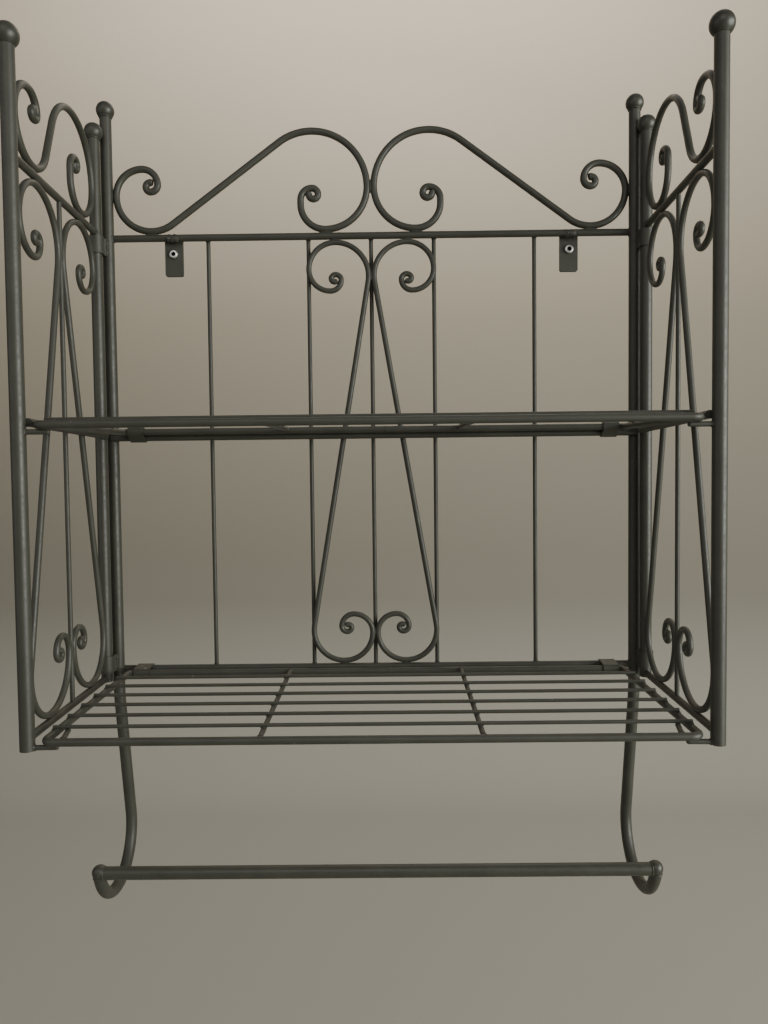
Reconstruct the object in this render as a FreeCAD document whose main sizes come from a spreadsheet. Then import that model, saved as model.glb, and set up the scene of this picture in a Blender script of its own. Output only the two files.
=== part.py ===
import FreeCAD, Part
import Sketcher
import math
import os

V = FreeCAD.Vector
doc = FreeCAD.newDocument("folding_wall_shelf")

# Driving dimensions, millimetres and degrees
# Rises and drops are counted from the axis of the bar that the note names.
# Depths are counted from the plane of the back posts, forward positive.

sizes = [
    ("post_span", "480", "between the axes of the two back posts"),
    ("side_depth", "172", "between the axes of a side frame's two posts"),
    ("frame_drop", "396", "from the back top bar down to the back bottom bar"),
    ("middle_drop", "181.7", "from the back top bar down to the back middle bar"),
    ("side_out", "7", "side frame's rear post, outward of the back post"),
    ("side_forward", "11.6", "side frame's rear post, forward of the back post"),
    ("toe_in", "2", "turn of the side frames toward each other at the front"),
    ("post_dia", "10.4", "tube of every post and of the towel arms"),
    ("post_wall", "1.2", "wall of the post tube"),
    ("back_post_tail", "10", "lower end of the back posts, below the back bottom bar"),
    ("rear_post_tail", "9", "lower end of the rear posts, below the back bottom bar"),
    ("front_post_tail", "13.5", "lower end of the front posts, below the back bottom bar"),
    ("post_floor", "2", "thickness of a front post's closed end"),
    ("ball_dia", "16.2", "balls on the back and rear posts"),
    ("front_ball_dia", "17.2", "balls on the front posts"),
    ("ball_seat", "5.9", "from a ball's centre down to the end of its tube"),
    ("back_ball_rise", "115", "balls on the back posts, above the back top bar"),
    ("rear_ball_rise", "91", "balls on the rear posts, above the back top bar"),
    ("front_ball_rise", "80", "balls on the front posts, above the back top bar"),
    ("plug_length", "9", "plug under a ball or on top of a towel arm"),
    ("plug_play", "0.1", "radial play of a plug in its tube"),
    ("bar_dia", "6.4", "cross bars of the back frame"),
    ("wire_dia", "3.8", "upright wires"),
    ("inner_wire_x", "57.5", "inner upright wires, from the centre"),
    ("outer_wire_inset", "90.5", "outer upright wires, inward of the back posts' axes"),
    ("contact_play", "0.02", "play where two round bars only touch"),
    ("tab_width", "16.4", "wall tabs"),
    ("tab_thick", "3.2", "wall tabs"),
    ("tab_drop", "33.7", "lower end of the wall tabs, below the back top bar"),
    ("tab_rise", "2", "upper end of the wall tabs, above the back top bar"),
    ("tab_corner", "2", "rounding of the wall tabs' lower corners"),
    ("tab_inset", "59", "wall tabs and their holes, inward of the back posts' axes"),
    ("hole_drop", "14", "screw holes below the back top bar"),
    ("hole_dia", "5.5", "screw holes"),
    ("crest_dia", "6.2", "bar of the scrolls on top of the back frame"),
    ("crest_big", "50", "radius over the tall inner loop"),
    ("crest_low", "38", "radius from the tall loop down to the top bar"),
    ("crest_turn", "22.5", "radius of the inner loop's first turn up"),
    ("crest_run", "4", "straight bit before the inner curl"),
    ("crest_curl", "10.5", "radius of the inner curl"),
    ("crest_eye", "5.5", "radius at the eye of the curls"),
    ("crest_valley", "32", "radius of the outer valley"),
    ("crest_shoulder", "24", "radius over the outer loop"),
    ("crest_hook", "14", "radius down into the outer curl"),
    ("crest_tip", "6.5", "radius at the end of the outer curl"),
    ("heart_dia", "5", "bar of the heart scrolls"),
    ("heart_half", "57", "outer side of the heart's foot, from the centre"),
    ("heart_crown", "30.8", "radius from the centre up to the crown"),
    ("heart_cheek", "24.6", "radius down from the crown"),
    ("heart_chin", "20", "radius under the upper curl"),
    ("heart_inner", "10", "inner radius of the upper curl"),
    ("heart_eye", "5", "radius at the eye of both curls"),
    ("heart_foot", "28.3", "radius at the foot's outer side"),
    ("heart_rise", "17.2", "radius over the lower curl"),
    ("heart_drop", "11.5", "radius down into the lower curl"),
    ("side_bar_dia", "6", "cross bars of the side frames"),
    ("side_top_rise", "1.5", "side top bar, above the back top bar"),
    ("side_middle_rise", "1.3", "side middle bar, above the back middle bar"),
    ("side_bottom_drop", "5.5", "side bottom bar, below the back bottom bar"),
    ("middle_inset", "3.5", "side middle bar's ends, short of the posts' axes"),
    ("side_crest_dia", "5.6", "bar of the scroll on top of a side frame"),
    ("side_crest_big", "46", "radius over the tall rear loop"),
    ("side_crest_low", "30", "radius from the tall loop down to the bar"),
    ("side_crest_turn", "22", "radius of the rear loop's first turn up"),
    ("side_crest_run", "8", "straight bit before the rear curl"),
    ("side_crest_curl", "11", "radius of the rear curl"),
    ("side_crest_eye", "5.2", "radius at the eye of the curls"),
    ("side_crest_valley", "28", "radius of the front valley"),
    ("side_crest_shoulder", "26", "radius over the front loop"),
    ("side_crest_hook", "13", "radius down into the front curl"),
    ("side_scroll_dia", "5", "bar of the long scrolls of the side frames"),
    ("side_crown", "39.6", "radius from the centre wire up to the crown"),
    ("side_cheek", "31", "radius down from the crown"),
    ("side_chin", "23", "radius under the upper curl"),
    ("side_inner", "12.5", "inner radius of the upper curl"),
    ("side_eye", "6", "radius at the eye of both curls"),
    ("side_foot", "34", "radius at the foot's outer side"),
    ("side_rise", "14", "radius over the lower curl"),
    ("side_drop", "11.5", "radius down into the lower curl"),
    ("tail_radius", "4.3", "radius of the last bit of every curl"),
    ("tail_angle", "60", "turn of the last bit of every curl"),
    ("strap_height", "15", "hinge straps"),
    ("strap_thick", "1.3", "hinge straps"),
    ("strap_lug", "6", "width of the bridge from strap to back post"),
    ("strap_gap", "0.2", "between a top strap and the side top bar"),
    ("strap_lift", "2.2", "between a bottom strap and the side bottom bar"),
    ("run_play", "0.3", "radial play of everything that turns"),
    ("shelf_bar_dia", "5.8", "frame bar of the shelves"),
    ("shelf_inset", "14", "shelf's side bars at the rear, inward of the back posts' axes"),
    ("shelf_flare", "2.5", "how far a side bar spreads outward on its way to the front"),
    ("shelf_forward", "12.9", "shelf's rear bar, forward of the back frame"),
    ("shelf_reach", "3.5", "shelf's front bar, forward of the side frames' depth"),
    ("front_corner", "7", "radius of a shelf's front corners"),
    ("rear_corner", "5", "radius of a shelf's rear corners"),
    ("upper_shelf_rise", "4.7", "upper shelf's rear bar, above the back middle bar"),
    ("lower_shelf_drop", "1.3", "lower shelf's rear bar, below the back bottom bar"),
    ("shelf_slope", "1.8", "fall of the shelves toward the front"),
    ("rod_dia", "2.8", "long rods of the shelves"),
    ("rod_overhang", "1", "rod's ends, outward of the shelf's side bars' axes"),
    ("first_rod", "30", "first rod, forward of the rear bar"),
    ("last_rod", "19.2", "last rod, back from the front bar"),
    ("brace_dia", "3.8", "cross braces and stubs of the shelves"),
    ("brace_x", "78", "cross braces, from the centre"),
    ("stub_inset", "9", "corner stubs' rear ends, inward of the front corners"),
    ("stub_lean", "4.5", "corner stubs' front ends, inward of their rear ends"),
    ("stub_depth", "21.2", "corner stubs' rear ends, back from the front bar"),
    ("peg_dia", "3.8", "shelf pegs"),
    ("peg_length", "20", "shelf pegs, from the front post's axis"),
    ("peg_play", "0.1", "between a peg and the shelf on it"),
    ("clip_inset", "25.5", "shelf clips' middles, inward of the back posts' axes"),
    ("clip_width", "14", "shelf clips"),
    ("clip_thick", "1.2", "sheet of the shelf clips"),
    ("arm_neck", "8", "straight top end of a towel arm"),
    ("arm_sweep", "60", "radius where a towel arm leaves the upright"),
    ("arm_hook", "43.7", "radius of a towel arm's hook"),
    ("arm_back", "24.3", "how far a towel arm bows behind the posts"),
    ("arm_drop", "153.5", "hook's centre, below the back bottom bar"),
    ("arm_end_angle", "167", "angle at which the hook stops"),
    ("rail_dia", "11", "towel rail"),
    ("rail_inset", "3", "rail's ends, short of the arms' axes"),
]

sheet = doc.addObject("Spreadsheet::Sheet", "dims")
for row, (name, value, note) in enumerate(sizes, start=1):
    sheet.set("A%d" % row, name)
    sheet.set("B%d" % row, value)
    sheet.setAlias("B%d" % row, name)
    sheet.set("C%d" % row, note)
doc.recompute()


def dim(name):
    return float(sheet.get(name))


# Heights over the axis of the back top bar, as sums of sizes

heights = {
    "top_bar": "",
    "middle_bar": "- middle_drop",
    "bottom_bar": "- frame_drop",
    "back_post_low": "- frame_drop - back_post_tail",
    "rear_post_low": "- frame_drop - rear_post_tail",
    "front_post_low": "- frame_drop - front_post_tail",
    "side_top": "+ side_top_rise",
    "side_middle": "- middle_drop + side_middle_rise",
    "side_bottom": "- frame_drop - side_bottom_drop",
    "upper_shelf": "- middle_drop + upper_shelf_rise",
    "lower_shelf": "- frame_drop - lower_shelf_drop",
    "hook": "- frame_drop - arm_drop",
}


def terms(name):
    words = heights[name].split()
    return list(zip(words[::2], words[1::2]))


def level(name):
    return sum(dim(size) if sign == "+" else -dim(size) for sign, size in terms(name))


def rule(name):
    return "(0" + "".join(" %s dims.%s" % term for term in terms(name)) + ")"


# Reference positions that follow from the sheet

rods_per_shelf = 6
frame_y = -(dim("tab_thick") + dim("bar_dia") / 2)
top_z = dim("hole_drop")
half_span = dim("post_span") / 2
side_x = half_span + dim("side_out")
side_y = frame_y - dim("side_forward")
toe_in = math.radians(dim("toe_in"))
slope = math.radians(dim("shelf_slope"))
post_radius = dim("post_dia") / 2
along_x = V(1, 0, 0)
upward = V(0, 0, 1)
parts = []
pipes = []


def back_point(x, forward, z):
    return V(x, frame_y - forward, top_z + z)


def keep(obj, label):
    obj.Label = label
    parts.append(obj)
    return obj


# Small builders for round bars and for joining and trimming them

def rod(name, dia, length, start, direction):
    bar = doc.addObject("Part::Cylinder", name)
    bar.setExpression("Radius", "(%s) / 2" % dia)
    bar.setExpression("Height", length)
    bar.Placement = FreeCAD.Placement(start, FreeCAD.Rotation(upward, direction))
    return bar


def block(name, length, width, height, placement):
    box = doc.addObject("Part::Box", name)
    box.setExpression("Length", length)
    box.setExpression("Width", width)
    box.setExpression("Height", height)
    box.Placement = placement
    return box


def fused(name, pieces):
    joined = doc.addObject("Part::MultiFuse", name)
    joined.Shapes = pieces
    return joined


def trimmed(name, base, tool):
    cut = doc.addObject("Part::Cut", name)
    cut.Base = base
    cut.Tool = tool
    return cut


def grouped(name, pieces):
    group = doc.addObject("Part::Compound", name)
    group.Links = pieces
    return group


def plane_of(body, role):
    return [f for f in body.Origin.OriginFeatures if f.Role == role][0]


def circle_sketch(body, name, role, radius_rule, offset, at_z_rule=None):
    sketch = body.newObject("Sketcher::SketchObject", name)
    sketch.AttachmentSupport = [(plane_of(body, role), "")]
    sketch.MapMode = "FlatFace"
    sketch.AttachmentOffset = FreeCAD.Placement(V(0, 0, offset), FreeCAD.Rotation())
    sketch.addGeometry(Part.Circle(V(0, 0, 0), V(0, 0, 1), 3), False)
    sketch.addConstraint(Sketcher.Constraint("Radius", 0, 3))
    sketch.setExpression("Constraints[0]", radius_rule)
    if at_z_rule is None:
        sketch.addConstraint(Sketcher.Constraint("Coincident", 0, 3, -1, 1))
    else:
        sketch.addConstraint(Sketcher.Constraint("PointOnObject", 0, 3, -2))
        sketch.addConstraint(Sketcher.Constraint("DistanceY", -1, 1, 0, 3, -1))
        sketch.setExpression("Constraints[2]", at_z_rule)
    return sketch


def smaller(feature, before, label):
    doc.recompute()
    if not feature.Shape.Volume < before - 1:
        raise RuntimeError("%s removed nothing" % label)


# Posts: tubes with a bore, the front ones closed at the foot

def post(label, x, y, low, high, floor):
    body = doc.addObject("PartDesign::Body", label)
    section = circle_sketch(body, label + "_section", "XY_Plane", "dims.post_dia / 2", 0)
    tube = body.newObject("PartDesign::Pad", label + "_tube")
    tube.Profile = section
    tube.setExpression("Length", "(%s) - %s" % (high, rule(low)))
    doc.recompute()
    solid_volume = body.Shape.Volume
    inner = "dims.post_dia / 2 - dims.post_wall"
    hollow = circle_sketch(body, label + "_hollow", "XY_Plane", inner, floor)
    bore = body.newObject("PartDesign::Pocket", label + "_bore")
    bore.Profile = hollow
    bore.Type = "ThroughAll"
    bore.Reversed = True
    smaller(bore, solid_volume, label)
    body.Placement = FreeCAD.Placement(V(x, y, top_z + level(low)), FreeCAD.Rotation())
    return keep(body, label)


# Ball finial with a plug that sits in the end of its tube

def finial(name, x, y, centre_rule, dia_rule):
    z = top_z + dim(centre_rule)
    ball = doc.addObject("Part::Sphere", name + "_ball")
    ball.setExpression("Radius", "dims.%s / 2" % dia_rule)
    ball.Placement = FreeCAD.Placement(V(x, y, z), FreeCAD.Rotation())
    seat = V(x, y, z - dim("ball_seat"))
    socket = rod(name + "_socket", "dims.post_dia", "dims.ball_dia", seat, -upward)
    cup = trimmed(name + "_cup", ball, socket)
    bore = "dims.post_dia - 2 * dims.post_wall - 2 * dims.plug_play"
    plug = rod(name + "_plug", bore, "dims.plug_length", seat, -upward)
    return fused(name, [cup, plug])


# Scrolls: two spirals of tangent arcs joined by one straight run

def unit(angle):
    return (math.cos(math.radians(angle)), math.sin(math.radians(angle)))


def spiral(centre, radius, start, turns, sense):
    pieces = []
    cx, cy = centre
    angle = start
    while sense * (turns[0][1] - angle) < 0:
        angle -= sense * 360
    while sense * (turns[0][1] - angle) > 360:
        angle += sense * 360
    for new_radius, stop in turns:
        ux, uy = unit(angle)
        if new_radius is None:
            px, py = cx + radius * ux, cy + radius * uy
            dx, dy = -uy * sense * stop, ux * sense * stop
            pieces.append([(px, py), None, (px + dx, py + dy)])
            cx, cy = cx + dx, cy + dy
            continue
        cx += (radius - new_radius) * ux
        cy += (radius - new_radius) * uy
        radius = new_radius
        points = []
        for part_angle in (angle, (angle + stop) / 2, stop):
            ex, ey = unit(part_angle)
            points.append((cx + radius * ex, cy + radius * ey))
        pieces.append(points)
        angle = stop
    return pieces


def two_spirals(first, second, sense):
    (ax, ay), ar, a_turns = first
    (bx, by), br, b_turns = second
    reach = math.hypot(bx - ax, by - ay)
    toward = math.degrees(math.atan2(by - ay, bx - ax))
    normal = toward + sense * math.degrees(math.acos((ar + br) / reach))
    head = spiral((ax, ay), ar, normal, a_turns, sense)
    foot = spiral((bx, by), br, normal + 180, b_turns, sense)
    head = [list(reversed(piece)) for piece in reversed(head)]
    return head + [[head[-1][2], None, foot[0][0]]] + foot


def edges_of(path, place):
    edges = []
    for start, middle, end in path:
        if middle is None:
            edges.append(Part.LineSegment(place(*start), place(*end)).toShape())
        else:
            arc = Part.Arc(place(*start), place(*middle), place(*end))
            edges.append(arc.toShape())
    return edges


def bar_along(name, edges, dia):
    route = Part.Wire(edges)
    first = edges[0]
    heading = first.tangentAt(first.FirstParameter)
    ring = Part.Circle(first.valueAt(first.FirstParameter), heading, dia / 2)
    bar = route.makePipeShell([Part.Wire([ring.toShape()])], True, False)
    wanted = math.pi * dia * dia / 4 * sum(e.Length for e in edges)
    if abs(bar.Volume - wanted) > 0.01 * wanted:
        raise RuntimeError("%s has the wrong volume" % name)
    pipes.append((name, sum(e.Length for e in edges)))
    return bar


def bent_bar(name, edges, dia):
    obj = doc.addObject("Part::Feature", name)
    obj.Shape = bar_along(name, edges, dia)
    return obj


def tail(stop, sense):
    return (dim("tail_radius"), stop + sense * dim("tail_angle"))


# Fit factor that keeps a pair of loops inside a narrower frame

def fit(room, wanted):
    return min(1.0, room / wanted)


def crest_path(near, far, floor, radii, run):
    big, low, turn, curl, eye, valley, shoulder, hook, tip = radii
    k = fit(far - near, 2.05 * (big + valley))
    big, low, turn, curl, valley, shoulder, hook = [
        k * r for r in (big, low, turn, curl, valley, shoulder, hook)
    ]
    head = ((near + big, floor + low), big, [
        (big, 180), (low, 270), (turn, 360), (None, run),
        (curl, 450), (eye, 540), tail(540, 1),
    ])
    foot = ((far - valley, floor + valley), valley, [
        (valley, 360), (shoulder, 450), (hook, 540), (tip, 630), tail(630, 1),
    ])
    return two_spirals(head, foot, 1)


def long_scroll_path(near, foot_far, crown_far, crown_z, foot_z, radii):
    crown, cheek, chin, inner, eye, foot, rise, drop = radii
    k = fit(crown_far - near, crown + cheek)
    crown, cheek, chin, inner = [k * r for r in (crown, cheek, chin, inner)]
    top = ((near + crown, crown_z - crown), crown, [
        (crown, 90), (cheek, 0), (chin, -90), (inner, -180), (eye, -270), tail(-270, -1),
    ])
    back = foot_far - foot - near
    bottom = ((foot_far - foot, foot_z + foot), foot, [
        (foot, -90), (back, -180), (rise, -270), (drop, -360), (eye, -450), tail(-450, -1),
    ])
    return two_spirals(top, bottom, -1)


# Back frame: posts, balls and the three cross bars coped to the posts

back_tools = []
for side, word in ((-1, "left"), (1, "right")):
    x = side * half_span
    post(word + "_back_post", x, frame_y, "back_post_low",
         "dims.back_ball_rise - dims.ball_seat", -1)
    tool = rod(word + "_back_cope", "dims.post_dia", "dims.back_ball_rise - " + rule("back_post_low"),
               back_point(x, 0, level("back_post_low")), upward)
    back_tools.append(tool)
back_cope = fused("back_cope", back_tools)

balls = []
for side, word in ((-1, "left"), (1, "right")):
    name = word + "_back_ball"
    balls.append(finial(name, side * half_span, frame_y, "back_ball_rise", "ball_dia"))
keep(grouped("back_finials", balls), "back_finials")

back_bars = {}
bar_places = (("top", 0), ("middle", 1), ("bottom", 0))
heart_radius = dim("heart_dia") / 2
middle_forward = heart_radius + dim("bar_dia") / 2 + dim("contact_play")
for word, ahead in bar_places:
    start = back_point(-half_span, ahead * middle_forward, level(word + "_bar"))
    bar = rod("back_%s_stock" % word, "dims.bar_dia", "dims.post_span", start, along_x)
    back_bars[word] = bar
    keep(trimmed("back_%s_cut" % word, bar, back_cope), "back_%s_bar" % word)

# Upright wires behind the hearts, coped to the top and bottom bars

wire_back = heart_radius + dim("wire_dia") / 2 + dim("contact_play")
wires = []
outer_wire_x = half_span - dim("outer_wire_inset")
wire_places = (-outer_wire_x, -dim("inner_wire_x"), 0, dim("inner_wire_x"), outer_wire_x)
for number, x in enumerate(wire_places, start=1):
    start = back_point(x, -wire_back, level("bottom_bar"))
    wires.append(rod("upright_%d" % number, "dims.wire_dia", "dims.frame_drop", start, upward))
bar_pair = fused("back_bar_pair", [back_bars["top"], back_bars["bottom"]])
keep(trimmed("back_wires_cut", grouped("back_wires_stock", wires), bar_pair), "back_wires")

# Crest scrolls on the top bar, tangent to each other and to the posts

crest_radius = dim("crest_dia") / 2
crest = crest_path(
    crest_radius + dim("contact_play"),
    half_span - post_radius - crest_radius - dim("contact_play"),
    dim("bar_dia") / 2 + crest_radius + dim("contact_play"),
    [dim("crest_" + w) for w in
     ("big", "low", "turn", "curl", "eye", "valley", "shoulder", "hook", "tip")],
    dim("crest_run"),
)
heart = long_scroll_path(
    heart_radius + dim("contact_play"),
    dim("heart_half"),
    dim("heart_half"),
    -dim("bar_dia") / 2 - heart_radius - dim("contact_play"),
    level("bottom_bar") + dim("bar_dia") / 2 + heart_radius + dim("contact_play"),
    [dim("heart_" + w) for w in
     ("crown", "cheek", "chin", "inner", "eye", "foot", "rise", "drop")],
)
for side, word in ((-1, "left"), (1, "right")):
    def on_back(u, w, side=side):
        return back_point(side * u, 0, w)
    keep(bent_bar(word + "_crest", edges_of(crest, on_back), dim("crest_dia")),
         word + "_crest_scroll")
    keep(bent_bar(word + "_heart", edges_of(heart, on_back), dim("heart_dia")),
         word + "_heart_scroll")

# Wall tabs: flat strips behind the top bar, one screw hole each

for side, word in ((-1, "left"), (1, "right")):
    label = word + "_wall_tab"
    body = doc.addObject("PartDesign::Body", label)
    outline = body.newObject("Sketcher::SketchObject", label + "_outline")
    outline.AttachmentSupport = [(plane_of(body, "XZ_Plane"), "")]
    outline.MapMode = "FlatFace"
    corners = [V(-8, -33, 0), V(8, -33, 0), V(8, 2, 0), V(-8, 2, 0)]
    for i in range(4):
        outline.addGeometry(Part.LineSegment(corners[i], corners[(i + 1) % 4]), False)
    for i in range(4):
        outline.addConstraint(Sketcher.Constraint("Coincident", i, 2, (i + 1) % 4, 1))
    for i in range(4):
        outline.addConstraint(Sketcher.Constraint("Horizontal" if i % 2 == 0 else "Vertical", i))
    outline.addConstraint(Sketcher.Constraint("DistanceX", -1, 1, 0, 1, -8))
    outline.setExpression("Constraints[8]", "-dims.tab_width / 2")
    outline.addConstraint(Sketcher.Constraint("DistanceX", 0, 1, 0, 2, 16))
    outline.setExpression("Constraints[9]", "dims.tab_width")
    outline.addConstraint(Sketcher.Constraint("DistanceY", -1, 1, 0, 1, -33))
    outline.setExpression("Constraints[10]", "-dims.tab_drop")
    outline.addConstraint(Sketcher.Constraint("DistanceY", -1, 1, 2, 1, 2))
    outline.setExpression("Constraints[11]", "dims.tab_rise")
    strip = body.newObject("PartDesign::Pad", label + "_strip")
    strip.Profile = outline
    strip.setExpression("Length", "dims.tab_thick")
    doc.recompute()
    low_edges = []
    for number, edge in enumerate(strip.Shape.Edges, start=1):
        box = edge.BoundBox
        if box.YLength > 1 and box.ZMax < 0.01 - dim("tab_drop"):
            low_edges.append("Edge%d" % number)
    rounding = body.newObject("PartDesign::Fillet", label + "_rounding")
    rounding.Base = (strip, low_edges)
    rounding.setExpression("Radius", "dims.tab_corner")
    doc.recompute()
    blank = body.Shape.Volume
    hole_rule = "-dims.hole_drop"
    ring = circle_sketch(body, label + "_ring", "XZ_Plane", "dims.hole_dia / 2", 0, hole_rule)
    hole = body.newObject("PartDesign::Pocket", label + "_hole")
    hole.Profile = ring
    hole.Type = "ThroughAll"
    hole.Reversed = True
    smaller(hole, blank, label)
    place = V(side * (half_span - dim("tab_inset")), 0, top_z)
    body.Placement = FreeCAD.Placement(place, FreeCAD.Rotation())
    keep(body, label)

# Hinge straps: rings round the side frames' rear posts, bridged to the back posts

strap_tops = {
    "top": level("side_top") - dim("side_bar_dia") / 2 - dim("strap_gap"),
    "bottom": level("side_bottom") + dim("side_bar_dia") / 2 + dim("strap_lift") + dim("strap_height"),
}
for side, word in ((-1, "left"), (1, "right")):
    for end, strap_top in strap_tops.items():
        name = "%s_%s_strap" % (word, end)
        low = V(side * side_x, side_y, top_z + strap_top - dim("strap_height"))
        inner = "dims.post_dia + 2 * dims.run_play"
        ring = rod(name + "_ring", inner + " + 2 * dims.strap_thick", "dims.strap_height", low, upward)
        inward = V(-side * dim("side_out"), dim("side_forward"), 0)
        turn = FreeCAD.Rotation(along_x, inward)
        shift = turn.multVec(V(0, -dim("strap_lug") / 2, 0))
        lug = block(name + "_lug", "sqrt(dims.side_out ^ 2 + dims.side_forward ^ 2)",
                    "dims.strap_lug", "dims.strap_height", FreeCAD.Placement(low + shift, turn))
        eye = rod(name + "_eye", inner, "dims.strap_height + 2", low - upward, upward)
        band = fused(name + "_band", [ring, lug])
        tool = fused(name + "_tool", [eye, back_tools[0 if side < 0 else 1]])
        keep(trimmed(name + "_cut", band, tool), name)

# Towel arms plugged into the back posts, and the rail between their tips

arm_foot = (dim("arm_back") - dim("arm_hook"), level("hook"))
arm_head = (dim("arm_sweep"), level("back_post_low") - dim("arm_neck"))
arm_path = two_spirals(
    (arm_head, dim("arm_sweep"), [(dim("arm_sweep"), 180), (None, dim("arm_neck"))]),
    (arm_foot, dim("arm_hook"), [(dim("arm_hook"), -dim("arm_end_angle"))]),
    -1,
)
tip_u, tip_w = arm_path[-1][2]
arms = []
for side, word in ((-1, "left"), (1, "right")):
    def on_arm(u, w, side=side):
        return back_point(side * half_span, -u, w)
    arm_edges = edges_of(arm_path, on_arm)
    tube = bar_along(word + "_towel_arm", arm_edges, dim("post_dia"))
    dome = Part.makeSphere(post_radius, on_arm(tip_u, tip_w))
    plug_radius = post_radius - dim("post_wall") - dim("plug_play")
    plug = Part.makeCylinder(plug_radius, dim("plug_length"), on_arm(0, level("back_post_low")), upward)
    arm = doc.addObject("Part::Feature", word + "_arm")
    arm.Shape = tube.fuse([dome, plug]).removeSplitter()
    arms.append(keep(arm, word + "_towel_arm"))
rail_start = back_point(-half_span + dim("rail_inset"), -tip_u, tip_w)
rail = rod("rail_stock", "dims.rail_dia", "dims.post_span - 2 * dims.rail_inset", rail_start, along_x)
keep(trimmed("rail_cut", rail, grouped("arm_pair", arms)), "towel_rail")

# Side frames, both from the same outlines, turned a little toward each other

side_crest_radius = dim("side_crest_dia") / 2
side_crest = crest_path(
    post_radius + side_crest_radius + dim("contact_play"),
    dim("side_depth") - post_radius - side_crest_radius - dim("contact_play"),
    level("side_top") + dim("side_bar_dia") / 2 + side_crest_radius + dim("contact_play"),
    [dim("side_crest_" + w) for w in
     ("big", "low", "turn", "curl", "eye", "valley", "shoulder", "hook", "eye")],
    dim("side_crest_run"),
)
scroll_radius = dim("side_scroll_dia") / 2
half_depth = dim("side_depth") / 2
side_scroll = long_scroll_path(
    dim("wire_dia") / 2 + scroll_radius + dim("contact_play"),
    half_depth - post_radius - scroll_radius - dim("contact_play"),
    half_depth - post_radius - scroll_radius - dim("contact_play"),
    level("side_top") - dim("side_bar_dia") / 2 - scroll_radius - dim("contact_play"),
    level("side_bottom") + dim("side_bar_dia") / 2 + scroll_radius + dim("contact_play"),
    [dim("side_" + w) for w in
     ("crown", "cheek", "chin", "inner", "eye", "foot", "rise", "drop")],
)
depth = dim("side_forward") + dim("side_depth") + dim("shelf_reach") - dim("shelf_forward")
peg_depth = dim("side_forward") + dim("side_depth") * math.cos(toe_in) - dim("shelf_forward")
peg_levels = {"upper": level("upper_shelf"), "lower": level("lower_shelf")}
for side, word in ((-1, "left"), (1, "right")):
    x = side * side_x
    ahead = V(-side * math.sin(toe_in), -math.cos(toe_in), 0)
    outward = V(side * math.cos(toe_in), -math.sin(toe_in), 0)

    def on_side(u, w, out=0.0, x=x, ahead=ahead, outward=outward):
        return V(x, side_y, top_z + w) + ahead * u + outward * out

    front = on_side(dim("side_depth"), 0)
    post(word + "_rear_post", x, side_y, "rear_post_low",
         "dims.rear_ball_rise - dims.ball_seat", -1)
    post(word + "_front_post", front.x, front.y, "front_post_low",
         "dims.front_ball_rise - dims.ball_seat", dim("post_floor"))
    keep(grouped(word + "_side_balls", [
        finial(word + "_rear_ball", x, side_y, "rear_ball_rise", "ball_dia"),
        finial(word + "_front_ball", front.x, front.y, "front_ball_rise", "front_ball_dia"),
    ]), word + "_side_finials")
    cope_length = "dims.back_ball_rise - " + rule("front_post_low")
    rear_tool = rod(word + "_rear_cope", "dims.post_dia", cope_length,
                    on_side(0, level("front_post_low")), upward)
    front_tool = rod(word + "_front_cope", "dims.post_dia", cope_length,
                     on_side(dim("side_depth"), level("front_post_low")), upward)
    cope = fused(word + "_side_cope", [rear_tool, front_tool])
    stock = {}
    for end in ("top", "bottom"):
        start = on_side(0, level("side_" + end))
        name = "%s_side_%s" % (word, end)
        stock[end] = rod(name + "_stock", "dims.side_bar_dia", "dims.side_depth", start, ahead)
        keep(trimmed(name + "_cut", stock[end], cope), name + "_bar")
    beside = scroll_radius + dim("side_bar_dia") / 2 + dim("contact_play")
    start = on_side(dim("middle_inset"), level("side_middle"), -beside)
    middle = rod(word + "_side_middle_stock", "dims.side_bar_dia",
                 "dims.side_depth - 2 * dims.middle_inset", start, ahead)
    keep(trimmed(word + "_side_middle_cut", middle, cope), word + "_side_middle_bar")

    def on_front_half(s, w):
        return on_side(half_depth + s, w)

    def on_rear_half(s, w):
        return on_side(half_depth - s, w)

    keep(bent_bar(word + "_side_crest", edges_of(side_crest, on_side), dim("side_crest_dia")),
         word + "_side_crest_scroll")
    keep(bent_bar(word + "_front_scroll_bar", edges_of(side_scroll, on_front_half),
                  dim("side_scroll_dia")), word + "_side_front_scroll")
    keep(bent_bar(word + "_rear_scroll_bar", edges_of(side_scroll, on_rear_half),
                  dim("side_scroll_dia")), word + "_side_rear_scroll")
    wire = rod(word + "_side_wire_stock", "dims.wire_dia", rule("side_top") + " - " + rule("side_bottom"),
               on_side(half_depth, level("side_bottom")), upward)
    pair = fused(word + "_side_bar_pair", [stock["top"], stock["bottom"]])
    keep(trimmed(word + "_side_wire_cut", wire, pair), word + "_side_wire")
    pegs = []
    for shelf, shelf_z in peg_levels.items():
        name = "%s_%s_peg" % (word, shelf)
        fall = peg_depth * math.tan(slope)
        z = shelf_z - fall - dim("shelf_bar_dia") / 2 - dim("peg_dia") / 2 - dim("peg_play")
        start = on_side(dim("side_depth"), z)
        pin = rod(name + "_pin", "dims.peg_dia", "dims.peg_length", start, -outward)
        nose = doc.addObject("Part::Sphere", name + "_nose")
        nose.setExpression("Radius", "dims.peg_dia / 2")
        nose.Placement = FreeCAD.Placement(start - outward * dim("peg_length"), FreeCAD.Rotation())
        pegs.append(trimmed(name, fused(name + "_blank", [pin, nose]), front_tool))
    keep(grouped(word + "_pegs", pegs), word + "_shelf_pegs")

# Shelves: a bent frame with rods on top, two braces and two corner stubs

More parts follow.
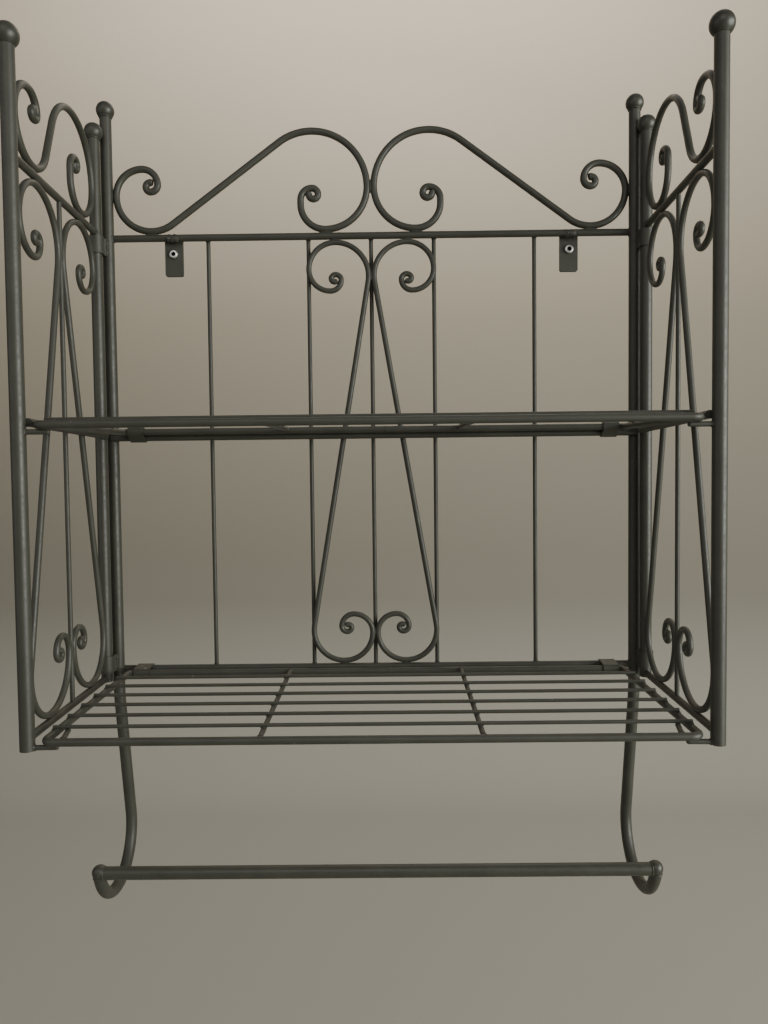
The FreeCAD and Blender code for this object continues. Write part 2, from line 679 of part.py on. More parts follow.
half = half_span - dim("shelf_inset")
front_half = half + dim("shelf_flare")
depth_rule = "dims.side_forward + dims.side_depth + dims.shelf_reach - dims.shelf_forward"
rod_pitch = (depth - dim("first_rod") - dim("last_rod")) / (rods_per_shelf - 1)


def with_corners(points, radii):
    pieces = []
    here = points[0]
    for number, radius in enumerate(radii, start=1):
        before, corner, after = [V(x, y, 0) for x, y in points[number - 1:number + 2]]
        into = (corner - before).normalize()
        out = (after - corner).normalize()
        half_turn = into.getAngle(out) / 2
        start = corner - into * (radius * math.tan(half_turn))
        end = corner + out * (radius * math.tan(half_turn))
        middle = corner + (out - into).normalize() * (radius / math.cos(half_turn) - radius)
        pieces.append([here, None, (start.x, start.y)])
        pieces.append([(start.x, start.y), (middle.x, middle.y), (end.x, end.y)])
        here = (end.x, end.y)
    pieces.append([here, None, points[-1]])
    return pieces


outline = with_corners([(0, 0), (half, 0), (front_half, depth), (0, depth)],
                       [dim("rear_corner"), dim("front_corner")])
mirrored = [[(-a[0], a[1]), None if b is None else (-b[0], b[1]), (-c[0], c[1])]
            for c, b, a in reversed(outline)]
rod_rule = "dims.post_span - 2 * dims.shelf_inset + 2 * dims.rod_overhang + %.6f * dims.shelf_flare * 2"
along_shelf = V(0, -math.cos(slope), -math.sin(slope))
off_shelf = V(0, -math.sin(slope), math.cos(slope))
for word in ("upper", "lower"):
    shelf_z = level(word + "_shelf")

    def on_shelf(x, y, lift=0.0, shelf_z=shelf_z):
        return back_point(x, dim("shelf_forward"), shelf_z) + along_shelf * y + off_shelf * lift

    hoop = bent_bar(word + "_hoop", edges_of(outline + mirrored, on_shelf), dim("shelf_bar_dia"))
    keep(hoop, word + "_shelf_frame")
    lift = (dim("shelf_bar_dia") + dim("rod_dia")) / 2 + dim("contact_play")
    rods = []
    for number in range(rods_per_shelf):
        y = dim("first_rod") + number * rod_pitch
        end = half + dim("shelf_flare") * y / depth + dim("rod_overhang")
        start = on_shelf(-end, y, lift)
        rods.append(rod("%s_rod_%d" % (word, number + 1), "dims.rod_dia",
                        rod_rule % (y / depth), start, along_x))
    keep(grouped(word + "_rods", rods), word + "_shelf_rods")
    sink = (dim("shelf_bar_dia") - dim("brace_dia")) / 2
    braces = []
    stubs = []
    for side in (-1, 1):
        braces.append(rod("%s_brace_%d" % (word, side + 2), "dims.brace_dia", depth_rule,
                          on_shelf(side * dim("brace_x"), 0, sink), along_shelf))
        stub_x = front_half - dim("stub_inset")
        foot = on_shelf(side * stub_x, depth - dim("stub_depth"), sink)
        tip = on_shelf(side * (stub_x - dim("stub_lean")), depth, sink)
        stubs.append(rod("%s_stub_%d" % (word, side + 2), "dims.brace_dia",
                         "sqrt(dims.stub_depth ^ 2 + dims.stub_lean ^ 2)", foot, tip - foot))
    keep(trimmed(word + "_braces", grouped(word + "_brace_stock", braces), hoop),
         word + "_shelf_braces")
    keep(trimmed(word + "_stubs", grouped(word + "_stub_stock", stubs), hoop),
         word + "_shelf_stubs")

# Shelf clips: sheet bent round a bar of the back frame and the shelf's rear bar

clip_rules = {
    "upper": ("dims.shelf_forward - dims.heart_dia / 2 - dims.bar_dia / 2 - dims.contact_play",
              "dims.upper_shelf_rise", middle_forward, level("middle_bar"), level("upper_shelf")),
    "lower": ("dims.shelf_forward", "dims.lower_shelf_drop",
              0.0, level("bottom_bar"), level("lower_shelf")),
}
for shelf, (ahead_rule, rise_rule, bar_ahead, bar_z, shelf_z) in clip_rules.items():
    run = dim("shelf_forward") - bar_ahead
    rise = shelf_z - bar_z
    turn = FreeCAD.Rotation(V(0, 1, 0), V(0, -run, rise))
    for side, word in ((-1, "left"), (1, "right")):
        name = "%s_%s_clip" % (word, shelf)
        shells = []
        for kind, dia, extra in (
            ("outer", "(dims.bar_dia + 2 * dims.clip_thick)", 0.0),
            ("inner", "dims.bar_dia", 1.0),
        ):
            left = side * (half_span - dim("clip_inset")) - dim("clip_width") / 2 - extra
            length = "dims.clip_width + %g" % (2 * extra)
            near = rod("%s_%s_near" % (name, kind), dia, length, back_point(left, bar_ahead, bar_z), along_x)
            far = rod("%s_%s_far" % (name, kind), dia, length,
                      back_point(left, dim("shelf_forward"), shelf_z), along_x)
            web_placement = FreeCAD.Placement(back_point(left, bar_ahead, bar_z), turn)
            web = block("%s_%s_web" % (name, kind), length,
                        "sqrt((%s) ^ 2 + (%s) ^ 2)" % (ahead_rule, rise_rule), dia, web_placement)
            radius = dim("bar_dia") / 2 + (dim("clip_thick") if kind == "outer" else 0.0)
            web.Placement.Base = web.Placement.Base + turn.multVec(V(0, 0, -radius))
            shells.append(fused("%s_%s" % (name, kind), [near, far, web]))
        keep(trimmed(name + "_cut", shells[0], shells[1]), name)

# Check every object, then write one file per piece

doc.recompute()
for obj in doc.Objects:
    if "Invalid" in obj.State or "Error" in obj.State:
        raise RuntimeError("%s did not recompute: %s" % (obj.Label, obj.getStatusString()))
labels = [obj.Label for obj in parts]
if len(set(labels)) != len(labels):
    raise RuntimeError("two pieces share a name")
os.makedirs("parts", exist_ok=True)
for obj in parts:
    shape = obj.Shape
    if shape.isNull() or not shape.isValid() or shape.Volume <= 0:
        raise RuntimeError("%s has no valid shape" % obj.Label)
for obj in parts:
    obj.Shape.exportStep("parts/%s.step" % obj.Label)
    print("%-26s %2d solids %10.1f mm3" % (obj.Label, len(obj.Shape.Solids), obj.Shape.Volume))
print("%d pieces" % len(parts))
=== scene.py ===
import bmesh
import bpy
import math
from mathutils import Matrix, Vector, noise


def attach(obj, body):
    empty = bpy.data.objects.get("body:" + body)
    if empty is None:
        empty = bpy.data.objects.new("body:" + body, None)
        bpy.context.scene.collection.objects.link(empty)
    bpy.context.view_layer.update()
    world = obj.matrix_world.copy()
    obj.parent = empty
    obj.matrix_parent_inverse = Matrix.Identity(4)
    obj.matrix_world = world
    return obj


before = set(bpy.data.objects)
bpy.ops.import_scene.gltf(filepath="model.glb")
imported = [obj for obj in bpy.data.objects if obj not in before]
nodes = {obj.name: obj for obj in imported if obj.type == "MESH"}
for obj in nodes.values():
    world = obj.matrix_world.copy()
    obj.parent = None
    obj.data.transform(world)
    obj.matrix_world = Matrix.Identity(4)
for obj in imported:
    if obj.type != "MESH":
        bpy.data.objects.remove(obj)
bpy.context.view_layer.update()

# Back posts. Two welded steel tubes, 10 mm across, that carry the whole unit.
# The paint is a satin grey-green, sprayed a little thick, with a faint pebble.
# Dust settles where a surface looks up, so it follows the surface's own normal.

SIDES = (("left", -1), ("right", 1))
POST_R = 0.0052
BACK_POST_X = 0.240
FRAME_Y = -0.0064
GREY_GREEN = (0.0422, 0.0428, 0.0335)
DUST = (0.150, 0.142, 0.120)
BARE_STEEL = (0.34, 0.32, 0.30)


def mottle(tree, place, scale, detail):
    cloud = tree.nodes.new("ShaderNodeTexNoise")
    cloud.inputs["Scale"].default_value = scale
    cloud.inputs["Detail"].default_value = detail
    tree.links.new(place.outputs["Object"], cloud.inputs["Vector"])
    return cloud.outputs["Fac"]


def satin_paint(name, tone=1.0, rough=0.49, pebble=0.10, grain=900.0, dust=0.16, rub=0.0):
    paint = bpy.data.materials.new(name)
    paint.use_nodes = True
    tree = paint.node_tree
    link = tree.links.new
    surface = tree.nodes["Principled BSDF"]
    surface.inputs["Specular IOR Level"].default_value = 0.5
    surface.inputs["Coat Weight"].default_value = 0.05
    surface.inputs["Coat Roughness"].default_value = 0.38
    place = tree.nodes.new("ShaderNodeTexCoord")

    shades = tree.nodes.new("ShaderNodeValToRGB")
    low, high = shades.color_ramp.elements
    low.position, high.position = 0.30, 0.72
    low.color = [c * tone * 0.84 for c in GREY_GREEN] + [1.0]
    high.color = [c * tone * 1.14 for c in GREY_GREEN] + [1.0]
    link(mottle(tree, place, 42.0, 4.0), shades.inputs["Fac"])

    split = tree.nodes.new("ShaderNodeSeparateXYZ")
    link(place.outputs["Normal"], split.inputs[0])
    upward = tree.nodes.new("ShaderNodeMapRange")
    upward.inputs["From Min"].default_value = 0.25
    upward.inputs["From Max"].default_value = 1.0
    upward.inputs["To Max"].default_value = dust
    link(split.outputs["Z"], upward.inputs["Value"])
    specks = mottle(tree, place, 310.0, 5.0)
    patchy = tree.nodes.new("ShaderNodeMath")
    patchy.operation = "MULTIPLY"
    link(upward.outputs["Result"], patchy.inputs[0])
    link(specks, patchy.inputs[1])
    dusty = tree.nodes.new("ShaderNodeMix")
    dusty.data_type = "RGBA"
    dusty.inputs["B"].default_value = (*DUST, 1.0)
    link(patchy.outputs[0], dusty.inputs["Factor"])
    link(shades.outputs["Color"], dusty.inputs["A"])
    finish = dusty.outputs["Result"]

    gloss = tree.nodes.new("ShaderNodeMapRange")
    gloss.inputs["From Min"].default_value = 0.3
    gloss.inputs["From Max"].default_value = 0.7
    gloss.inputs["To Min"].default_value = rough - 0.07
    gloss.inputs["To Max"].default_value = rough + 0.09
    link(specks, gloss.inputs["Value"])
    link(gloss.outputs["Result"], surface.inputs["Roughness"])

    if rub > 0.0:
        chips = tree.nodes.new("ShaderNodeValToRGB")
        first, last = chips.color_ramp.elements
        first.position, last.position = 0.74 - rub, 0.76 - rub
        first.color = (0.0, 0.0, 0.0, 1.0)
        last.color = (1.0, 1.0, 1.0, 1.0)
        link(mottle(tree, place, 170.0, 8.0), chips.inputs["Fac"])
        bare = tree.nodes.new("ShaderNodeMix")
        bare.data_type = "RGBA"
        bare.inputs["B"].default_value = (*BARE_STEEL, 1.0)
        link(chips.outputs["Color"], bare.inputs["Factor"])
        link(finish, bare.inputs["A"])
        finish = bare.outputs["Result"]
        link(chips.outputs["Color"], surface.inputs["Metallic"])
    link(finish, surface.inputs["Base Color"])

    relief = tree.nodes.new("ShaderNodeBump")
    relief.inputs["Strength"].default_value = pebble
    relief.inputs["Distance"].default_value = 0.0004
    link(mottle(tree, place, grain, 2.0), relief.inputs["Height"])
    link(relief.outputs["Normal"], surface.inputs["Normal"])
    return paint


def paint_nodes(paint, names):
    for name in names:
        piece = nodes[name]
        if not piece.material_slots:
            piece.data.materials.append(paint)
        for slot in piece.material_slots:
            slot.material = paint


post_paint = satin_paint("post_paint", rough=0.47)
paint_nodes(post_paint, ["left_back_post", "right_back_post"])

# Ball finials. Pressed steel balls with a short plug that sits in the tube's end.
# The spray pools a little under each ball, so the coat is smoother and darker, and
# a thin uneven collar closes the seam.

BALL_SEATS = {
    "back_frame": ((-BACK_POST_X, FRAME_Y, 0.1231), (BACK_POST_X, FRAME_Y, 0.1231)),
    "left_side_frame": ((-0.2470, -0.0180, 0.0991), (-0.2410, -0.1899, 0.0881)),
    "right_side_frame": ((0.2470, -0.0180, 0.0991), (0.2410, -0.1899, 0.0881)),
}
COLLAR_R = POST_R + 0.0001
ball_paint = satin_paint("ball_paint", tone=0.92, rough=0.42, pebble=0.07, dust=0.22)
paint_nodes(ball_paint, ["back_finials", "left_side_finials", "right_side_finials"])
noise.seed_set(7)


def uneven(verts, amount, period):
    for v in verts:
        v.co += noise.noise_vector(v.co * period) * amount


def weld_ring(bm, centre, along, radius, thick, post_radius=0.0):
    before = set(bm.verts)
    rim = bmesh.ops.create_circle(bm, segments=10, radius=thick / 2)["verts"]
    edges = list({e for v in rim for e in v.link_edges})
    stand = Matrix.Translation((radius, 0.0, 0.0)) @ Matrix.Rotation(math.pi / 2, 4, "X")
    bmesh.ops.transform(bm, matrix=stand, verts=rim)
    bmesh.ops.spin(bm, geom=rim + edges, cent=(0, 0, 0), axis=(0, 0, 1),
                   angle=math.tau, steps=40, use_merge=True)
    made = [v for v in bm.verts if v not in before]
    way = Vector(along).normalized()
    turn = way.to_track_quat("Z", "Y").to_matrix().to_4x4()
    bmesh.ops.transform(bm, matrix=Matrix.Translation(centre) @ turn, verts=made)
    if post_radius > 0.0:
        across = way.cross(Vector((0, 0, 1))).normalized()
        for v in made:
            off = min(abs((v.co - Vector(centre)).dot(across)), post_radius * 0.98)
            v.co += way * (post_radius - math.sqrt(post_radius ** 2 - off ** 2))
    uneven(made, thick * 0.14, 700.0)


def new_piece(name, bm, finish, body):
    bmesh.ops.recalc_face_normals(bm, faces=bm.faces[:])
    mesh = bpy.data.meshes.new(name)
    bm.to_mesh(mesh)
    bm.free()
    for face in mesh.polygons:
        face.use_smooth = True
    mesh.materials.append(finish)
    piece = bpy.data.objects.new(name, mesh)
    bpy.context.scene.collection.objects.link(piece)
    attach(piece, body)
    return piece


for body, seats in BALL_SEATS.items():
    collars = bmesh.new()
    for seat in seats:
        weld_ring(collars, seat, (0, 0, 1), COLLAR_R, 0.0015)
    new_piece(body + "_ball_collars", collars, ball_paint, body)

# Cross bars of the back frame. Three round bars, cut to length and welded between
# the posts, the middle one in front of them. Each end has a narrow, uneven bead.

BACK_BAR_R = 0.0032
TOP_BAR_Z = 0.014
BOTTOM_BAR_Z = -0.382
MIDDLE_BAR_Z = -0.1677
MIDDLE_WELD = (BACK_POST_X - 0.0038, -0.01052)
bar_paint = satin_paint("bar_paint", tone=0.96, rough=0.50, dust=0.20)
weld_paint = satin_paint("weld_paint", tone=0.90, rough=0.45, pebble=0.22, grain=620.0)
paint_nodes(bar_paint, ["back_top_bar", "back_middle_bar", "back_bottom_bar"])


def weld_dot(bm, centre, along, length, thick):
    made = bmesh.ops.create_icosphere(bm, subdivisions=3, radius=0.5)["verts"]
    turn = Vector(along).to_track_quat("X", "Z").to_matrix().to_4x4()
    size = Matrix.Diagonal((length, thick, thick, 1.0))
    bmesh.ops.transform(bm, matrix=Matrix.Translation(centre) @ turn @ size, verts=made)
    uneven(made, thick * 0.16, 900.0)


def weld_row(bm, middle, step, count, along, length, thick):
    for k in range(count):
        centre = Vector(middle) + Vector(step) * (k - (count - 1) / 2)
        weld_dot(bm, centre, along, length, thick)


welds = bmesh.new()
for word, side in SIDES:
    for z in (TOP_BAR_Z, BOTTOM_BAR_Z):
        weld_ring(welds, (side * (BACK_POST_X - POST_R), FRAME_Y, z), (side, 0, 0),
                  BACK_BAR_R, 0.0014, POST_R)
    x, y = MIDDLE_WELD
    weld_row(welds, (side * x, y, MIDDLE_BAR_Z), (0, 0, 0.0054), 2, (1, 0, 0), 0.0064, 0.0015)
new_piece("back_bar_welds", welds, weld_paint, "back_frame")

# Upright wires. Five thin rods behind the ornament, welded to the backs of the
# top and bottom bars with a short bead on either side of each end.

WIRE_XS = (-0.1495, -0.0575, 0.0, 0.0575, 0.1495)
WIRE_WELD_Y = -0.0029
WIRE_WELD_ZS = (TOP_BAR_Z - 0.0012, BOTTOM_BAR_Z + 0.0012)
wire_paint = satin_paint("wire_paint", tone=1.02, rough=0.51)
paint_nodes(wire_paint, ["back_wires", "left_side_wire", "right_side_wire"])
welds = bmesh.new()
for x in WIRE_XS:
    for z in WIRE_WELD_ZS:
        weld_row(welds, (x, WIRE_WELD_Y, z), (0.0036, 0, 0), 2, (0, 0, 1), 0.0044, 0.0013)
new_piece("back_wire_welds", welds, weld_paint, "back_frame")

# Crest scrolls. Two round bars, each rolled into a tall inner loop and a lower outer
# one, welded to the top bar, to the posts and to each other where they touch. Both
# ends of each bar are bent on into a small closed eye, with a rounded tip.

CREST_FEET_XS = (0.04112, 0.19968)
CREST_FEET_Z = 0.0172
CREST_POST_X = 0.23479
CREST_POST_Z = 0.0523
CREST_MEET_Z = 0.0583
ROUNDED_TIP = ((0.95, 0.16), (0.84, 0.12), (0.62, 0.10))
scroll_paint = satin_paint("scroll_paint", rough=0.48, pebble=0.12, grain=760.0, dust=0.20)
paint_nodes(scroll_paint, ["left_crest_scroll", "right_crest_scroll"])
welds = bmesh.new()
for word, side in SIDES:
    for x in CREST_FEET_XS:
        weld_row(welds, (side * x, FRAME_Y, CREST_FEET_Z), (0, 0.0024, 0), 2, (1, 0, 0), 0.0120, 0.0017)
    weld_row(welds, (side * CREST_POST_X, FRAME_Y, CREST_POST_Z), (0, 0.0028, 0), 2,
             (0, 0, 1), 0.0110, 0.0018)
weld_row(welds, (0.0, FRAME_Y, CREST_MEET_Z), (0, 0.0026, 0), 2, (0, 0, 1), 0.0120, 0.0017)
new_piece("crest_welds", welds, weld_paint, "back_frame")


def scroll_eye(bm, tip, heading, toward, radius, sweep, bar_radius):
    rim = bmesh.ops.create_circle(bm, segments=36, radius=bar_radius)["verts"]
    loop = list({e for v in rim for e in v.link_edges})
    stand = Matrix.Translation(tip) @ heading.to_track_quat("Z", "Y").to_matrix().to_4x4()
    bmesh.ops.transform(bm, matrix=stand, verts=rim)
    centre = tip + toward * radius
    axis = heading.cross(toward).normalized()
    turned = bmesh.ops.spin(bm, geom=rim + loop, cent=centre, axis=axis,
                            angle=math.radians(sweep), steps=28)["geom_last"]
    bmesh.ops.contextual_create(bm, geom=loop)
    loop = [g for g in turned if isinstance(g, bmesh.types.BMEdge)]
    swing = Matrix.Rotation(math.radians(sweep), 3, axis)
    end, forward = centre + swing @ (tip - centre), swing @ heading
    for size, step in ROUNDED_TIP:
        drawn = bmesh.ops.extrude_edge_only(bm, edges=loop)["geom"]
        ring = [g for g in drawn if isinstance(g, bmesh.types.BMVert)]
        loop = [g for g in drawn if isinstance(g, bmesh.types.BMEdge)]
        bmesh.ops.scale(bm, vec=(size, size, size), space=Matrix.Translation(-end), verts=ring)
        bmesh.ops.translate(bm, verts=ring, vec=forward * bar_radius * step)
        end = end + forward * bar_radius * step
    bmesh.ops.contextual_create(bm, geom=loop)


def add_scroll_eyes(bm, scroll, radius, sweep):
    bar = bmesh.new()
    bar.from_mesh(nodes[scroll].data)
    bmesh.ops.remove_doubles(bar, verts=bar.verts[:], dist=1e-6)
    bmesh.ops.dissolve_limit(bar, angle_limit=math.radians(0.1), verts=bar.verts[:], edges=bar.edges[:])
    for face in bar.faces:
        tip = face.calc_center_median()
        reach = [(v.co - tip).length for v in face.verts]
        if len(reach) < 20 or max(reach) - min(reach) > 1e-5:
            continue
        near = [v.co - tip for v in bar.verts if (v.co - tip).length < 4 * reach[0]]
        lean = sum(near, Vector()) / len(near)
        toward = (lean - face.normal * lean.dot(face.normal)).normalized()
        scroll_eye(bm, tip, face.normal.copy(), toward, radius, sweep, reach[0])
    bar.free()


eyes = bmesh.new()
for word, side in SIDES:
    add_scroll_eyes(eyes, word + "_crest_scroll", radius=0.0042, sweep=136)
new_piece("crest_scroll_eyes", eyes, scroll_paint, "back_frame")

# Heart scrolls. Two long bars with a curl at each end, side by side, welded to the
# top, middle and bottom bars, to the inner wires and to each other.

HEART_TOP = (0.03281, 0.0108)
HEART_FOOT = (0.0287, -0.3788)
HEART_MEET_ZS = (-0.02201, -0.3501)
HEART_ON_MIDDLE_BAR = (0.02681, -0.0089, MIDDLE_BAR_Z)
HEART_ON_WIRE = (0.0570, -0.0039)
HEART_WIRE_ZS = (-0.0159, -0.348)
paint_nodes(scroll_paint, ["left_heart_scroll", "right_heart_scroll"])
welds = bmesh.new()
for z in HEART_MEET_ZS:
    weld_row(welds, (0.0, FRAME_Y, z), (0, 0.0022, 0), 2, (0, 0, 1), 0.0090, 0.0014)
for word, side in SIDES:
    for x, z in (HEART_TOP, HEART_FOOT):
        weld_row(welds, (side * x, FRAME_Y, z), (0, 0.0022, 0), 2, (1, 0, 0), 0.0085, 0.0015)
    x, y, z = HEART_ON_MIDDLE_BAR
    weld_row(welds, (side * x, y, z), (0, 0, 0.0024), 2, (1, 0, 0), 0.0040, 0.0014)
    x, y = HEART_ON_WIRE
    for z in HEART_WIRE_ZS:
        weld_dot(welds, (side * x, y, z), (0, 0, 1), 0.0070, 0.0012)
new_piece("heart_welds", welds, weld_paint, "back_frame")
eyes = bmesh.new()
for word, side in SIDES:
    add_scroll_eyes(eyes, word + "_heart_scroll", radius=0.0030, sweep=162)
new_piece("heart_scroll_eyes", eyes, scroll_paint, "back_frame")

# Wall tabs. Flat steel strips, 16 mm wide, welded to the back of the top bar, each
# with one screw hole. The coat is chipped a little round the hole and the edges.
# A rough patch of weld wraps the bar above each tab.

TAB_X = 0.181
TAB_WELD_Y = -0.0033
TAB_WELD_ZS = (0.0163, 0.0112)
PATCH_Y = -0.0067
PATCH_Z = 0.0134
sheet_paint = satin_paint("sheet_paint", rough=0.52, pebble=0.16, grain=520.0, rub=0.02)
tab_weld_paint = satin_paint("tab_weld_paint", tone=1.06, rough=0.50, pebble=0.25, grain=620.0, rub=0.07)
paint_nodes(sheet_paint, ["left_wall_tab", "right_wall_tab"])
welds = bmesh.new()
for word, side in SIDES:
    x = side * TAB_X
    for z in TAB_WELD_ZS:
        weld_row(welds, (x, TAB_WELD_Y, z), (0.0048, 0, 0), 3, (1, 0, 0), 0.0062, 0.0016)
    weld_row(welds, (x, PATCH_Y, PATCH_Z), (0.0030, 0, 0), 3, (1, 0, 0), 0.0080, 0.0072)
new_piece("tab_welds", welds, tab_weld_paint, "back_frame")

# Wall screws. Zinc-plated screws with a low round head and a hexagon socket whose
# walls and floor are near-black painted shade for the recess, one in each tab, with the
# threaded shank standing out behind it.

SCREW_HEAD_R = 0.0038
SCREW_HEAD_H = 0.0028
SCREW_SEAT_Y = -0.0032
CROWN_BEVEL = 0.0011
SOCKET_RIM = 0.0006
SOCKET_R = 0.0019
SOCKET_DEPTH = 0.0023
SCREW_SHANK_R = 0.0024
SCREW_LENGTH = 0.0165
THREAD_PITCH = 0.0008
THREAD_DEPTH = 0.00022
PLAIN_SHANK = 0.0030
POINT_LENGTH = 0.0040
zinc = bpy.data.materials.new("bright_zinc")
zinc.use_nodes = True
zinc_link = zinc.node_tree.links.new
zinc_surface = zinc.node_tree.nodes["Principled BSDF"]
zinc_surface.inputs["Metallic"].default_value = 1.0
zinc_cloud = mottle(zinc.node_tree, zinc.node_tree.nodes.new("ShaderNodeTexCoord"), 800.0, 4.0)
zinc_shades = zinc.node_tree.nodes.new("ShaderNodeValToRGB")
zinc_shades.color_ramp.elements[0].color = (0.80, 0.79, 0.76, 1.0)
zinc_shades.color_ramp.elements[1].color = (0.95, 0.95, 0.93, 1.0)
zinc_link(zinc_cloud, zinc_shades.inputs["Fac"])
zinc_link(zinc_shades.outputs["Color"], zinc_surface.inputs["Base Color"])
zinc_gloss = zinc.node_tree.nodes.new("ShaderNodeMapRange")
zinc_gloss.inputs["To Min"].default_value = 0.20
zinc_gloss.inputs["To Max"].default_value = 0.42
zinc_link(zinc_cloud, zinc_gloss.inputs["Value"])
zinc_link(zinc_gloss.outputs["Result"], zinc_surface.inputs["Roughness"])

# Near-black painted shade for the inside of each hex socket, standing in for the dark of the recess.
painted_socket_shade = bpy.data.materials.new("painted_socket_shade")
painted_socket_shade.use_nodes = True
socket_shade_surface = painted_socket_shade.node_tree.nodes["Principled BSDF"]
socket_shade_surface.inputs["Base Color"].default_value = (0.010, 0.009, 0.008, 1.0)
socket_shade_surface.inputs["Roughness"].default_value = 0.9


def cut_head(screw):
    rim = bmesh.ops.create_circle(screw, segments=48, radius=SCREW_HEAD_R, cap_ends=True)["verts"]
    wall = bmesh.ops.extrude_face_region(screw, geom=[rim[0].link_faces[0]])["geom"]
    crown = [f for f in wall if isinstance(f, bmesh.types.BMFace)][0]
    bmesh.ops.translate(screw, verts=crown.verts, vec=(0, 0, SCREW_HEAD_H))
    bmesh.ops.bevel(screw, geom=list(crown.edges), offset=CROWN_BEVEL, segments=5, profile=0.5,
                    affect="EDGES", material=-1)
    crown = max(screw.faces, key=lambda f: f.calc_center_median().z * 1000 + f.calc_area())
    bmesh.ops.inset_region(screw, faces=[crown], thickness=SOCKET_RIM)
    for v in crown.verts:
        turn = math.atan2(v.co.y, v.co.x)
        flat = (turn + math.pi / 6) % (math.pi / 3) - math.pi / 6
        reach = SOCKET_R / math.cos(flat)
        v.co.x, v.co.y = reach * math.cos(turn), reach * math.sin(turn)
    well = bmesh.ops.extrude_face_region(screw, geom=[crown])["geom"]
    bmesh.ops.delete(screw, geom=[crown], context="FACES_ONLY")
    bottom = [f for f in well if isinstance(f, bmesh.types.BMFace)][0]
    bmesh.ops.translate(screw, verts=bottom.verts, vec=(0, 0, -SOCKET_DEPTH))
    # The socket's walls and floor take the second material, the near-black painted shade.
    for face in {f for v in bottom.verts for f in v.link_faces}:
        face.material_index = 1


def cut_thread(screw):
    shank = bmesh.ops.create_cone(screw, cap_ends=True, segments=32, radius1=SCREW_SHANK_R * 0.55,
                                  radius2=SCREW_SHANK_R, depth=SCREW_LENGTH)["verts"]
    bmesh.ops.translate(screw, verts=shank, vec=(0, 0, -SCREW_LENGTH / 2 + 0.0002))
    length_edges = [e for e in screw.edges if all(v in shank for v in e.verts)
                    and abs(e.verts[0].co.z - e.verts[1].co.z) > SCREW_LENGTH / 2]
    bmesh.ops.subdivide_edges(screw, edges=length_edges, cuts=60)
    for v in screw.verts:
        here = math.hypot(v.co.x, v.co.y)
        if -SCREW_LENGTH * 0.99 < v.co.z < -PLAIN_SHANK and here > 0.0:
            wave = math.cos(math.tau * v.co.z / THREAD_PITCH - math.atan2(v.co.y, v.co.x))
            taper = min(1.0, (v.co.z + SCREW_LENGTH) / POINT_LENGTH)
            wanted = (SCREW_SHANK_R * (0.45 + 0.55 * taper)) - THREAD_DEPTH * (1.0 + wave)
            v.co.x *= wanted / here
            v.co.y *= wanted / here


for word, side in SIDES:
    screw = bmesh.new()
    cut_head(screw)
    cut_thread(screw)
    forward = Matrix.Translation((side * TAB_X, SCREW_SEAT_Y, 0.0)) @ Matrix.Rotation(math.pi / 2, 4, "X")
    bmesh.ops.transform(screw, matrix=forward, verts=screw.verts[:])
    piece = new_piece(word + "_wall_screw", screw, zinc, "back_frame")
    # Second material: the near-black painted shade in the socket.
    piece.data.materials.append(painted_socket_shade)
    for face in piece.data.polygons:
        face.use_smooth = False

# Hinge straps. Steel rings that close round the side frames' rear posts, with a
# bridge welded to each back post. The side frames turn in them.

STRAP_ZS = (0.0048, -0.3748)
STRAP_WELDS = ((0.23963, -0.01159), (0.24476, -0.00849))
paint_nodes(sheet_paint, ["left_top_strap", "left_bottom_strap", "right_top_strap", "right_bottom_strap"])
welds = bmesh.new()
for word, side in SIDES:
    for z in STRAP_ZS:
        for x, y in STRAP_WELDS:
            weld_row(welds, (side * x, y, z), (0, 0, 0.0042), 3, (0, 0, 1), 0.0055, 0.0016)
new_piece("strap_welds", welds, weld_paint, "back_frame")

# Towel arms and rail. The arms are bent tube, plugged into the lower ends of the
# back posts, and the rail is a tube between two small steel balls on their tips.
# Towels rub its coat smooth.

RAIL_END = (0.2356, -0.06838, -0.54533)
ARM_TIP = (0.2399, -0.0674, -0.5489)
ARM_TIP_WAY = (0, -0.225, 0.975)
END_BALL = (0.2394, -0.0683, -0.5445)
END_BALL_R = 0.0064
rail_paint = satin_paint("rail_paint", tone=1.04, rough=0.42, pebble=0.06, dust=0.10)
paint_nodes(post_paint, ["left_towel_arm", "right_towel_arm"])
paint_nodes(rail_paint, ["towel_rail"])
welds = bmesh.new()
end_balls = bmesh.new()
for word, side in SIDES:
    x, y, z = RAIL_END
    weld_ring(welds, (side * x, y, z), (side, 0, 0), 0.0054, 0.0015)
    x, y, z = ARM_TIP
    weld_ring(welds, (side * x, y, z), ARM_TIP_WAY, 0.0051, 0.0013)
    x, y, z = END_BALL
    ball = bmesh.ops.create_uvsphere(end_balls, u_segments=40, v_segments=24, radius=END_BALL_R)["verts"]
    bmesh.ops.translate(end_balls, verts=ball, vec=(side * x, y, z))
new_piece("rail_welds", welds, weld_paint, "back_frame")
new_piece("rail_end_balls", end_balls, ball_paint, "back_frame")

# Side frames. Each has two posts, three cross bars, a crest, two long scrolls and a
# centre wire, all welded into one panel that turns on its rear post. The panels
# stand turned inward by two degrees.

